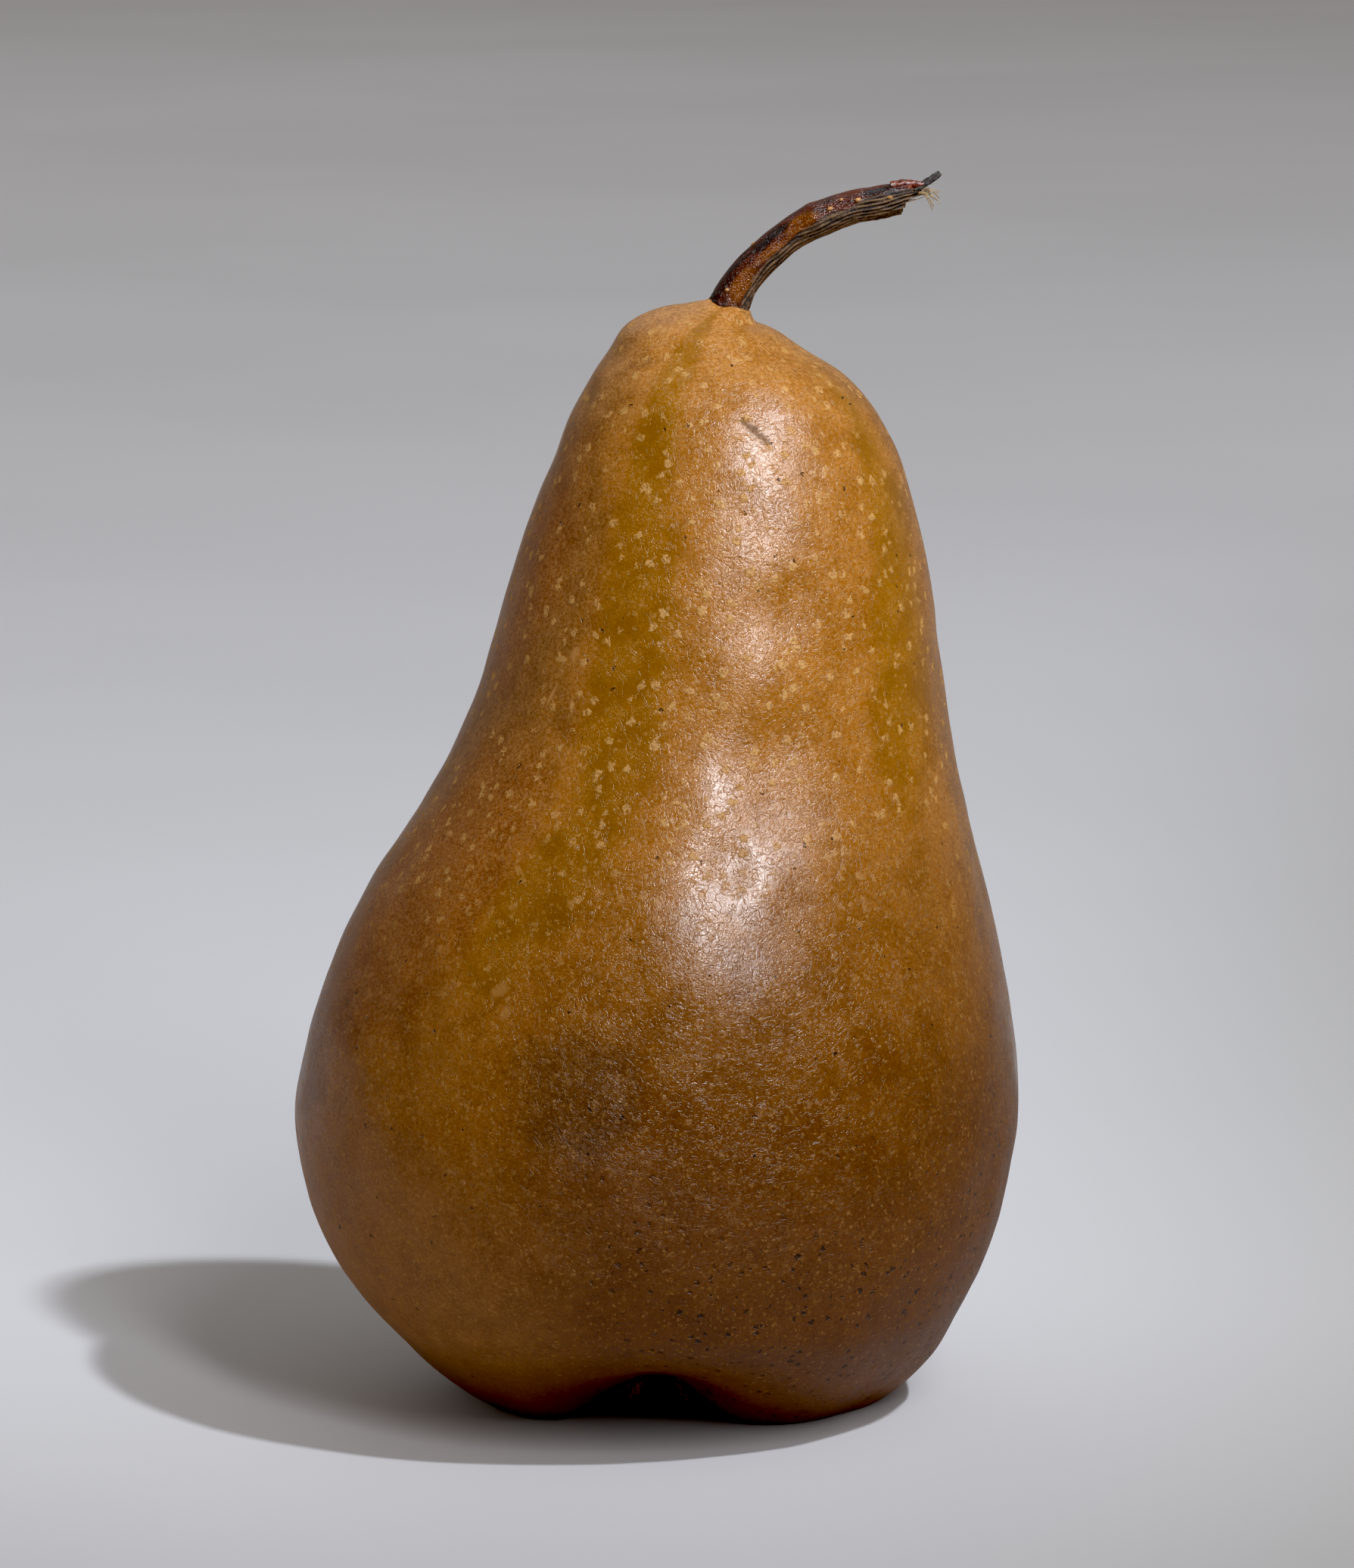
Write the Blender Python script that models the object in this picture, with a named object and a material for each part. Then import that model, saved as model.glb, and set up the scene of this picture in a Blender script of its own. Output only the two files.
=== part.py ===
"""A russet pear standing on its calyx lobes: the fruit, its bent woody stem and five dried sepals.

The origin is on the floor under the belly's axis, +Z is up, and the stem leans towards +X.
Sizes below are in millimetres and angles in degrees; the meshes are made in metres.
"""

import math

import bmesh
import bpy
from mathutils import Matrix, Vector

MM = 0.001

# Driving dimensions.
BELLY_RADIUS = 35.0
BELLY_HEIGHT = 30.0
STEM_FOOT = Vector((6.6, 1.5, 106.9))
STEM_FOOT_RADIUS = 1.7
STEM_LEAN = 30.0
SOCKET_DEPTH = 2.6
GAP = 0.3

# How finely the fruit is drawn: points round each ring, and rings to each step of the outline.
RING_POINTS = 48
RING_STEPS = 2

# The fruit is a little flatter front to back than side to side, and its neck leans slightly back.
DEPTH_RATIO = 0.985
NECK_SWAY = 1.5
FRUIT_HEIGHT = 108.0
UNEVENNESS = 0.012

# Height, centre across and half width, from the shoulder under the stem down to the base.
BODY = [
    (104.8, 4.0, 7.3),
    (102.6, 4.9, 9.6),
    (100.4, 5.8, 12.1),
    (96.5, 6.5, 14.9),
    (90.0, 6.6, 17.7),
    (80.0, 5.8, 20.4),
    (70.0, 5.1, 22.4),
    (61.0, 3.9, 25.5),
    (52.0, 2.0, 29.4),
    (42.0, 0.7, 33.1),
    (BELLY_HEIGHT, 0.0, BELLY_RADIUS),
    (20.0, 0.1, 33.7),
    (12.5, 0.6, 30.5),
]

# Radius, height, centre across and how strongly the lobes shape it, from the base's turn into
# the calyx pit.
BASE = [
    (26.9, 6.9, 1.2, 0.4),
    (23.9, 3.6, 1.6, 0.65),
    (20.4, 1.0, 1.8, 0.9),
    (16.8, -0.8, 1.7, 1.0),
    (13.6, 0.2, 1.3, 1.0),
    (10.8, 2.8, 0.9, 0.8),
    (8.2, 5.2, 0.6, 0.5),
    (5.8, 6.8, 0.4, 0.2),
    (3.6, 7.4, 0.4, 0.0),
    (2.2, 8.6, 0.4, 0.0),
]

# The lobes round the calyx: azimuth and how far each comes down to the floor.
LOBES = [(-42.0, 1.0), (-146.0, 1.0), (148.0, 0.98), (82.0, 1.0), (16.0, 1.0)]
LOBE_SPREAD = 27.0
LOBE_FLATNESS = 3
VALLEY_RISE = 6.6
VALLEY_PULL = 1.6

# The stem's line from its foot to the end of the wood, then the splinter: across, height, radius.
STEM_LINE = [
    (8.2, 109.6, 1.6),
    (10.5, 112.1, 1.5),
    (13.2, 114.3, 1.5),
    (15.4, 115.4, 1.6),
    (19.0, 116.6, 1.6),
    (22.2, 117.2, 1.4),
    (24.0, 117.7, 1.05),
    (24.8, 118.2, 0.5),
    (26.5, 119.3, 0.25),
]
STEM_STEPS = 3

# The sepals hang from the calyx ring and splay towards their tips: azimuth and how far each reaches.
CALYX_CENTRE = BASE[-1][2]
SEPALS = [(-116.0, 1.0), (-68.0, 0.93), (2.0, 1.06), (74.0, 0.9), (152.0, 1.02)]
SEPAL_LINE = [(2.9, 6.7), (3.6, 5.2), (4.9, 3.6), (6.3, 2.2), (7.2, 1.3)]
SEPAL_HALF_WIDTHS = [1.0, 1.3, 1.2, 0.9, 0.4]
SEPAL_HALF_THICKNESS = 0.3
SEPAL_SIDES = 10
SEPAL_STEPS = 2


def clear_scene():
    for item in list(bpy.data.objects):
        bpy.data.objects.remove(item, do_unlink=True)


def new_collection(name):
    collection = bpy.data.collections.new(name)
    bpy.context.scene.collection.children.link(collection)
    return collection


def material(name, colour, roughness):
    made = bpy.data.materials.new(name)
    made.use_nodes = True
    shader = made.node_tree.nodes["Principled BSDF"]
    shader.inputs["Base Color"].default_value = (*colour, 1.0)
    shader.inputs["Roughness"].default_value = roughness
    shader.inputs["Metallic"].default_value = 0.0
    return made


def smooth_rows(rows, steps):
    """Rows of numbers drawn as one smooth curve, with the given number of rows in each interval."""
    knots = [0.0]
    for before, after in zip(rows, rows[1:]):
        knots.append(knots[-1] + (Vector(after) - Vector(before)).length)
    slopes = []
    for i in range(len(rows)):
        a, b = max(i - 1, 0), min(i + 1, len(rows) - 1)
        slopes.append((Vector(rows[b]) - Vector(rows[a])) / (knots[b] - knots[a]))
    drawn = []
    for i in range(len(rows) - 1):
        span = knots[i + 1] - knots[i]
        start, end = Vector(rows[i]), Vector(rows[i + 1])
        for k in range(steps):
            t = k / steps
            drawn.append(
                start * (2 * t**3 - 3 * t**2 + 1)
                + slopes[i] * (span * (t**3 - 2 * t**2 + t))
                + end * (3 * t**2 - 2 * t**3)
                + slopes[i + 1] * (span * (t**3 - t**2))
            )
    drawn.append(Vector(rows[-1]))
    return drawn


def loft(name, rings, collection, finish):
    """One closed skin over rings of points, each end closed by a flat face."""
    bm = bmesh.new()
    layers = [[bm.verts.new(point * MM) for point in ring] for ring in rings]
    for upper, lower in zip(layers, layers[1:]):
        for i in range(len(upper)):
            j = (i + 1) % len(upper)
            bm.faces.new((upper[i], lower[i], lower[j], upper[j]))
    bm.faces.new(layers[0])
    bm.faces.new(list(reversed(layers[-1])))
    bmesh.ops.recalc_face_normals(bm, faces=bm.faces)
    mesh = bpy.data.meshes.new(name)
    bm.to_mesh(mesh)
    bm.free()
    mesh.materials.append(finish)
    mesh.shade_smooth()
    made = bpy.data.objects.new(name, mesh)
    collection.objects.link(made)
    return made


def stem_direction():
    lean = math.radians(STEM_LEAN)
    return Vector((math.sin(lean), 0.0, math.cos(lean)))


def valley(angle):
    """1 in the middle of a wide valley between two lobes, 0 at the foot of a lobe."""
    filled = 0.0
    for azimuth, strength in LOBES:
        away = (math.degrees(angle) - azimuth + 180.0) % 360.0 - 180.0
        filled += strength * math.exp(-0.5 * abs(away / LOBE_SPREAD) ** LOBE_FLATNESS)
    return max(1.0 - filled, 0.0)


def fruit_ring(row):
    """The points of one ring. A row is the centre's place, the radius, the tilt and the lobing."""
    across, back, height, radius, tilt, lobing = row
    tip = Matrix.Rotation(math.radians(tilt), 3, "Y")
    uneven = UNEVENNESS * math.sin(math.pi * min(max(height / FRUIT_HEIGHT, 0.0), 1.0))
    points = []
    for i in range(RING_POINTS):
        angle = 2 * math.pi * i / RING_POINTS
        dip = valley(angle) * lobing
        reach = radius * (1 + uneven * (math.sin(2 * angle) - math.sin(3 * angle)))
        reach -= VALLEY_PULL * dip
        flat = Vector((reach * math.cos(angle), reach * DEPTH_RATIO * math.sin(angle), 0.0))
        lift = Vector((across, back, height + VALLEY_RISE * dip))
        points.append(tip @ flat + lift)
    return points


def socket_rows():
    """The rings of the stem's socket, its lip and the crest round it."""
    along = stem_direction()
    floor = STEM_FOOT - along * SOCKET_DEPTH
    mouth = STEM_FOOT - along * 0.5
    wall = STEM_FOOT_RADIUS + GAP
    return [
        (*floor, wall, STEM_LEAN, 0.0),
        (*mouth, wall + 0.05, STEM_LEAN - 4.0, 0.0),
        (STEM_FOOT.x - 0.2, STEM_FOOT.y, STEM_FOOT.z - 0.1, wall + 0.6, 15.0, 0.0),
        (STEM_FOOT.x - 1.0, STEM_FOOT.y, STEM_FOOT.z - 0.3, wall + 1.7, 9.0, 0.0),
        (STEM_FOOT.x - 2.2, STEM_FOOT.y, STEM_FOOT.z - 0.9, wall + 3.1, 5.0, 0.0),
    ]


def sway(height):
    return NECK_SWAY * (height / FRUIT_HEIGHT) ** 2


def make_fruit(collection):
    rows = socket_rows()
    rows += [(across, sway(height), height, half, 0.0, 0.0) for height, across, half in BODY]
    rows += [(across, 0.0, height, radius, 0.0, lobing) for radius, height, across, lobing in BASE]
    rings = [fruit_ring(row) for row in smooth_rows(rows, RING_STEPS)]
    finish = material("russet_skin", (0.42, 0.20, 0.06), 0.42)
    fruit = loft("fruit", rings, collection, finish)
    rest_on_floor(fruit)
    return fruit


def rest_on_floor(fruit):
    """Each lobe's foot is cut level at the floor, which leaves one flat face under it."""
    bm = bmesh.new()
    bm.from_mesh(fruit.data)
    everything = bm.verts[:] + bm.edges[:] + bm.faces[:]
    bmesh.ops.bisect_plane(
        bm, geom=everything, dist=1e-7, plane_co=(0, 0, 0), plane_no=(0, 0, -1), clear_outer=True
    )
    bmesh.ops.holes_fill(bm, edges=[edge for edge in bm.edges if edge.is_boundary], sides=0)
    bmesh.ops.recalc_face_normals(bm, faces=bm.faces)
    bm.to_mesh(fruit.data)
    bm.free()
    fruit.data.set_sharp_from_angle(angle=math.radians(50.0))


def make_stem(collection):
    root = STEM_FOOT - stem_direction() * (SOCKET_DEPTH - GAP)
    rows = [(root.x, root.z, STEM_FOOT_RADIUS), (STEM_FOOT.x, STEM_FOOT.z, STEM_FOOT_RADIUS)]
    rows += STEM_LINE
    curve = bpy.data.curves.new("stem", "CURVE")
    curve.dimensions = "3D"
    curve.bevel_depth = MM
    curve.bevel_resolution = 4
    curve.use_fill_caps = True
    line = curve.splines.new("POLY")
    drawn = smooth_rows(rows, STEM_STEPS)
    line.points.add(len(drawn) - 1)
    for point, (across, height, radius) in zip(line.points, drawn):
        point.co = (across * MM, STEM_FOOT.y * MM, height * MM, 1.0)
        point.radius = radius
    line.use_smooth = True
    curve.materials.append(material("stem_bark", (0.16, 0.07, 0.035), 0.5))
    stem = bpy.data.objects.new("stem", curve)
    collection.objects.link(stem)
    return stem


def make_sepal(name, azimuth, reach, collection, finish):
    """A blunt tongue, widest below its root, hanging from the calyx ring and bending outwards."""
    rows = [(out, height, half) for (out, height), half in zip(SEPAL_LINE, SEPAL_HALF_WIDTHS)]
    drawn = smooth_rows(rows, SEPAL_STEPS)
    spin = Matrix.Rotation(math.radians(azimuth), 3, "Z")
    root_out = SEPAL_LINE[0][0]
    rings = []
    for i, (out, height, half) in enumerate(drawn):
        before, after = drawn[max(i - 1, 0)], drawn[min(i + 1, len(drawn) - 1)]
        along = Vector((after[0] - before[0], 0.0, after[1] - before[1])).normalized()
        face = along.cross(Vector((0.0, 1.0, 0.0)))
        middle = Vector((root_out + (out - root_out) * reach, 0.0, height))
        ring = []
        for k in range(SEPAL_SIDES):
            angle = 2 * math.pi * k / SEPAL_SIDES
            side = Vector((0.0, half * math.cos(angle), 0.0))
            ring.append(spin @ (middle + side + face * (SEPAL_HALF_THICKNESS * math.sin(angle))))
        rings.append([point + Vector((CALYX_CENTRE, 0.0, 0.0)) for point in ring])
    return loft(name, rings, collection, finish)


def main():
    clear_scene()
    pear = new_collection("pear")
    make_fruit(pear)
    make_stem(pear)
    dried = material("dried_sepal", (0.10, 0.05, 0.025), 0.8)
    for number, (azimuth, reach) in enumerate(SEPALS, start=1):
        make_sepal(f"sepal_{number}", azimuth, reach, pear, dried)


main()
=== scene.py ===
import math

import bmesh
import bpy
import numpy as np
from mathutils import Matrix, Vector, noise


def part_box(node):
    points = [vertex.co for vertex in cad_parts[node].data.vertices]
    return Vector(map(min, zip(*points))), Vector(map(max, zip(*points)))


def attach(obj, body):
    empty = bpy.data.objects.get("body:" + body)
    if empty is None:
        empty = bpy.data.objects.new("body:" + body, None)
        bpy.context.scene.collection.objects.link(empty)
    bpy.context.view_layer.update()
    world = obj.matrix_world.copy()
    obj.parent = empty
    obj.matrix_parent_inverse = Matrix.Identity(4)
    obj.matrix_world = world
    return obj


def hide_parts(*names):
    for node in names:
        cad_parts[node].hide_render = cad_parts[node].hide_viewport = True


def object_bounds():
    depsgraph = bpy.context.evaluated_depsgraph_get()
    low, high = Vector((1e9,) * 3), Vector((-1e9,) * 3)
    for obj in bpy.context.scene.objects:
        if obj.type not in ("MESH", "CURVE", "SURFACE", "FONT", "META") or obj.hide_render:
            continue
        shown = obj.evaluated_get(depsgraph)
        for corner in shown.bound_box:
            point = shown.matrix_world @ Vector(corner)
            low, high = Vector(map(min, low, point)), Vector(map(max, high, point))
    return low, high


# A russet pear with a bent woody stem, dressed and lit on a pale floor.
# Sizes in the dictionaries are millimetres and degrees unless a note says otherwise.

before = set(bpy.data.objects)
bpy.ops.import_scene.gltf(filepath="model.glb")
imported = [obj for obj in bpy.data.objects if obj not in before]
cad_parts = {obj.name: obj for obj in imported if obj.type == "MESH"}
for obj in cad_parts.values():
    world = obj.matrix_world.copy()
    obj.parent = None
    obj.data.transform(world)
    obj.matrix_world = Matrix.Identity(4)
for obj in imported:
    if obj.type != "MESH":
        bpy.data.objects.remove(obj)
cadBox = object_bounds()
mm = 0.001

scene = bpy.context.scene
scene.view_settings.view_transform = "Standard"
scene.view_settings.use_curve_mapping = True
scene.view_settings.curve_mapping.black_level = (0.016, 0.016, 0.016)
scene.view_settings.curve_mapping.update()


def tint(red, green, blue):  # a paint chip's 0-255 values as the linear colour that a shader wants
    shares = [v / 255 for v in (red, green, blue)]
    return [v / 12.92 if v <= 0.04 else ((v + 0.055) / 1.055) ** 2.4 for v in shares] + [1.0]


def facing(azimuth, elevation):  # unit vector; azimuth 0 is the front, positive to the right
    a, e = math.radians(azimuth), math.radians(elevation)
    return Vector((math.sin(a) * math.cos(e), -math.cos(a) * math.cos(e), math.sin(e)))


def pointAt(thing, place, target):
    thing.location = place
    thing.rotation_euler = (Vector(target) - Vector(place)).to_track_quat("-Z", "Y").to_euler()


# camera

shot = {
    "elevation": 9.5,
    "distance": 650.0,
    "frameHeight": 151.6,  # how much the long side takes in at the pear
    "aimPastMiddle": (1.8, -0.4, 1.1),
    "filmSide": 36.0,
}


def makeCamera():
    low, high = cadBox
    aim = (low + high) / 2 + Vector(shot["aimPastMiddle"]) * mm
    camera = bpy.data.objects.new("camera", bpy.data.cameras.new("camera"))
    scene.collection.objects.link(camera)
    scene.camera = camera
    camera.data.sensor_width = shot["filmSide"]
    camera.data.lens = shot["filmSide"] * shot["distance"] / shot["frameHeight"]
    camera.data.clip_start, camera.data.clip_end = 0.01, 50.0
    pointAt(camera, aim + facing(0, shot["elevation"]) * shot["distance"] * mm, aim)


makeCamera()
print("camera in place")


# shader writing

class Wire:  # a socket that can be used in sums
    def __init__(self, finish, socket):
        self.finish, self.socket = finish, socket

    def maths(self, operation, *values):
        return self.finish.add("ShaderNodeMath", {"operation": operation}, dict(enumerate(values)))

    def __add__(self, other):
        return self.maths("ADD", self, other)

    def __sub__(self, other):
        return self.maths("SUBTRACT", self, other)

    def __rsub__(self, other):
        return self.maths("SUBTRACT", other, self)

    def __mul__(self, other):
        return self.maths("MULTIPLY", self, other)

    def __truediv__(self, other):
        return self.maths("DIVIDE", self, other)

    def __rtruediv__(self, other):
        return self.maths("DIVIDE", other, self)

    def __abs__(self):
        return self.maths("ABSOLUTE", self)

    __radd__, __rmul__ = __add__, __mul__


class Finish:  # one material and the nodes that make it
    def __init__(self, name):
        self.material = bpy.data.materials.new(name)
        self.material.use_nodes = True
        self.tree = self.material.node_tree
        self.tree.nodes.clear()

    def add(self, kind, settings=None, values=None, out=0):
        node = self.tree.nodes.new(kind)
        for key, value in (settings or {}).items():
            setattr(node, key, value)
        for key, value in (values or {}).items():
            if isinstance(value, Wire):
                self.tree.links.new(value.socket, node.inputs[key])
            else:
                node.inputs[key].default_value = value
        return Wire(self, node.outputs[out])

    def blend(self, factor, first, second, mode="MIX"):  # of two colours
        settings = {"data_type": "RGBA", "blend_type": mode}
        return self.add("ShaderNodeMix", settings, {0: factor, 6: first, 7: second}, 2)

    def step(self, value, low, high, bottom=0.0, top=1.0):  # a soft step from low to high
        settings = {"interpolation_type": "SMOOTHSTEP"}
        return self.add("ShaderNodeMapRange", settings, {0: value, 1: low, 2: high, 3: bottom, 4: top})

    def larger(self, first, second):
        return first.maths("MAXIMUM", first, second)

    def vectors(self, operation, *values, out=0):
        return self.add("ShaderNodeVectorMath", {"operation": operation}, dict(enumerate(values)), out)

    def grain(self, place, size, detail=2.0, rough=0.5, warp=0.0, out=0):
        values = {"Vector": place, "Scale": 1 / size, "Detail": detail,
                  "Roughness": rough, "Distortion": warp}
        return self.add("ShaderNodeTexNoise", None, values, out)

    def cells(self, place, size, out=0):
        return self.add("ShaderNodeTexVoronoi", None, {"Vector": place, "Scale": 1 / size}, out)

    def painted(self, name, out=2):  # a mark kept on the mesh; out 1 is the vector, 2 the value
        return self.add("ShaderNodeAttribute", {"attribute_name": name}, None, out)

    def inMillimetres(self):
        place = self.add("ShaderNodeTexCoord", None, None, 3)
        return self.vectors("MULTIPLY", place, (1000.0, 1000.0, 1000.0))

    def parts(self, vector):
        node = self.add("ShaderNodeSeparateXYZ", None, {0: vector}).socket.node
        return [Wire(self, socket) for socket in node.outputs]

    def toLine(self, place, start, end):  # how far a place is from the line between two points
        run = Vector(end) - Vector(start)
        away = self.vectors("SUBTRACT", place, tuple(start))
        along = self.vectors("DOT_PRODUCT", away, tuple(run / run.length_squared), out=1)
        along = self.add("ShaderNodeClamp", None, {0: along})
        nearest = self.add("ShaderNodeVectorMath", {"operation": "SCALE"}, {0: tuple(run), "Scale": along})
        return self.vectors("LENGTH", self.vectors("SUBTRACT", away, nearest), out=1)

    def bump(self, height, depth, under=None):
        values = {"Height": height, "Strength": 1.0, "Distance": depth * mm}
        if under is not None:
            values["Normal"] = under
        return self.add("ShaderNodeBump", None, values)

    def surface(self, **sockets):
        values = {key.replace("_", " "): value for key, value in sockets.items()}
        shader = self.add("ShaderNodeBsdfPrincipled", None, values)
        output = self.tree.nodes.new("ShaderNodeOutputMaterial")
        self.tree.links.new(shader.socket, output.inputs[0])
        return self.material


# studio

studio = {
    "floorSize": 16000.0,
    "floorColour": (220, 220, 224),
    "floorShade": (204, 204, 207),
    "surroundings": (1.0, 0.94, 0.87),
    "surroundingsStrength": 0.27,
    "clouds": (250.0, 0.3, 20.0),  # the floor's mottling: size, strength, how far it shifts the near tone
    "nearTone": (-170.0, 60.0, (160, 155, 148)),  # the floor darkens this much towards the camera
    "rightTone": (0.0, 140.0, (186, 183, 172)),  # and towards the right
    "rightToneAway": (900.0, 150.0),  # but not far away: none at the first distance, all at the second
    "lampsAimAt": 50.0,  # height on the pear
    "key": {"azimuth": 54.0, "elevation": 57.0, "distance": 1600.0, "size": (60.0, 60.0),
            "watts": 15.0, "colour": (0.94, 1.0, 1.08)},
    "strip": {"azimuth": 24.0, "elevation": 40.0, "distance": 800.0, "size": (90.0, 420.0),
              "watts": 2.0, "colour": (1.0, 1.0, 1.04)},
    "sheen": {"azimuth": 21.0, "elevation": 43.0, "distance": 800.0, "size": (60.0, 390.0),
              "watts": 7.5, "colour": (1.0, 1.0, 1.04), "onlyShine": True},
    "sheenAbove": {"azimuth": 44.0, "elevation": 46.0, "distance": 800.0, "size": (140.0, 160.0),
                   "watts": 1.5, "colour": (1.0, 1.0, 1.04), "onlyShine": True},
    "backdrop": {"azimuth": 195.0, "elevation": 38.0, "distance": 2300.0, "size": (1600.0, 1600.0),
                 "watts": 4.2, "colour": (1.0, 1.0, 1.0)},
}


def makeFloor():
    half = studio["floorSize"] / 2 * mm
    bm = bmesh.new()
    bm.faces.new([bm.verts.new((x * half, y * half, 0.0)) for x, y in ((-1, -1), (1, -1), (1, 1), (-1, 1))])
    mesh = bpy.data.meshes.new("floor")
    bm.to_mesh(mesh)
    bm.free()
    floor = bpy.data.objects.new("floor", mesh)
    scene.collection.objects.link(floor)
    paper = Finish("floorPaper")
    place = paper.inMillimetres()
    across, away = paper.parts(place)[:2]
    cloudSize, cloudStrength, cloudShift = studio["clouds"]
    cloudy = paper.step(paper.grain(place, cloudSize, 3.0), 0.3, 0.7)
    colour = paper.blend(cloudy * cloudStrength, tint(*studio["floorColour"]), tint(*studio["floorShade"]))
    near, far, nearTone = studio["nearTone"]
    nearSide = paper.step(away + cloudy * cloudShift, far, near)
    colour = paper.blend(nearSide, colour, tint(*nearTone), "MULTIPLY")
    begins, ends, rightTone = studio["rightTone"]
    rightSide = paper.step(across - away * 0.1, begins, ends) * paper.step(away, *studio["rightToneAway"])
    colour = paper.blend(rightSide, colour, tint(*rightTone), "MULTIPLY")
    mesh.materials.append(paper.surface(Base_Color=colour, Roughness=0.85))


def makeLights():
    for name in ("key", "strip", "sheen", "sheenAbove", "backdrop"):
        lamp = studio[name]
        made = bpy.data.lights.new(name, "AREA")
        made.shape = "RECTANGLE"
        made.size, made.size_y = (side * mm for side in lamp["size"])
        made.energy = lamp["watts"]
        made.color = lamp["colour"]
        holder = bpy.data.objects.new(name, made)
        scene.collection.objects.link(holder)
        holder.visible_diffuse = not lamp.get("onlyShine", False)
        place = facing(lamp["azimuth"], lamp["elevation"]) * lamp["distance"] * mm
        aim = (0.0, place.y, 0.0) if name == "backdrop" else (0.0, 0.0, studio["lampsAimAt"] * mm)
        pointAt(holder, place, aim)
    world = bpy.data.worlds.new("surroundings")
    world.use_nodes = True
    sky = world.node_tree.nodes["Background"]
    sky.inputs["Color"].default_value = (*studio["surroundings"], 1.0)
    sky.inputs["Strength"].default_value = studio["surroundingsStrength"]
    scene.world = world


makeFloor()
makeLights()
print("floor and lights in place")


# the fruit's skin

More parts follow.
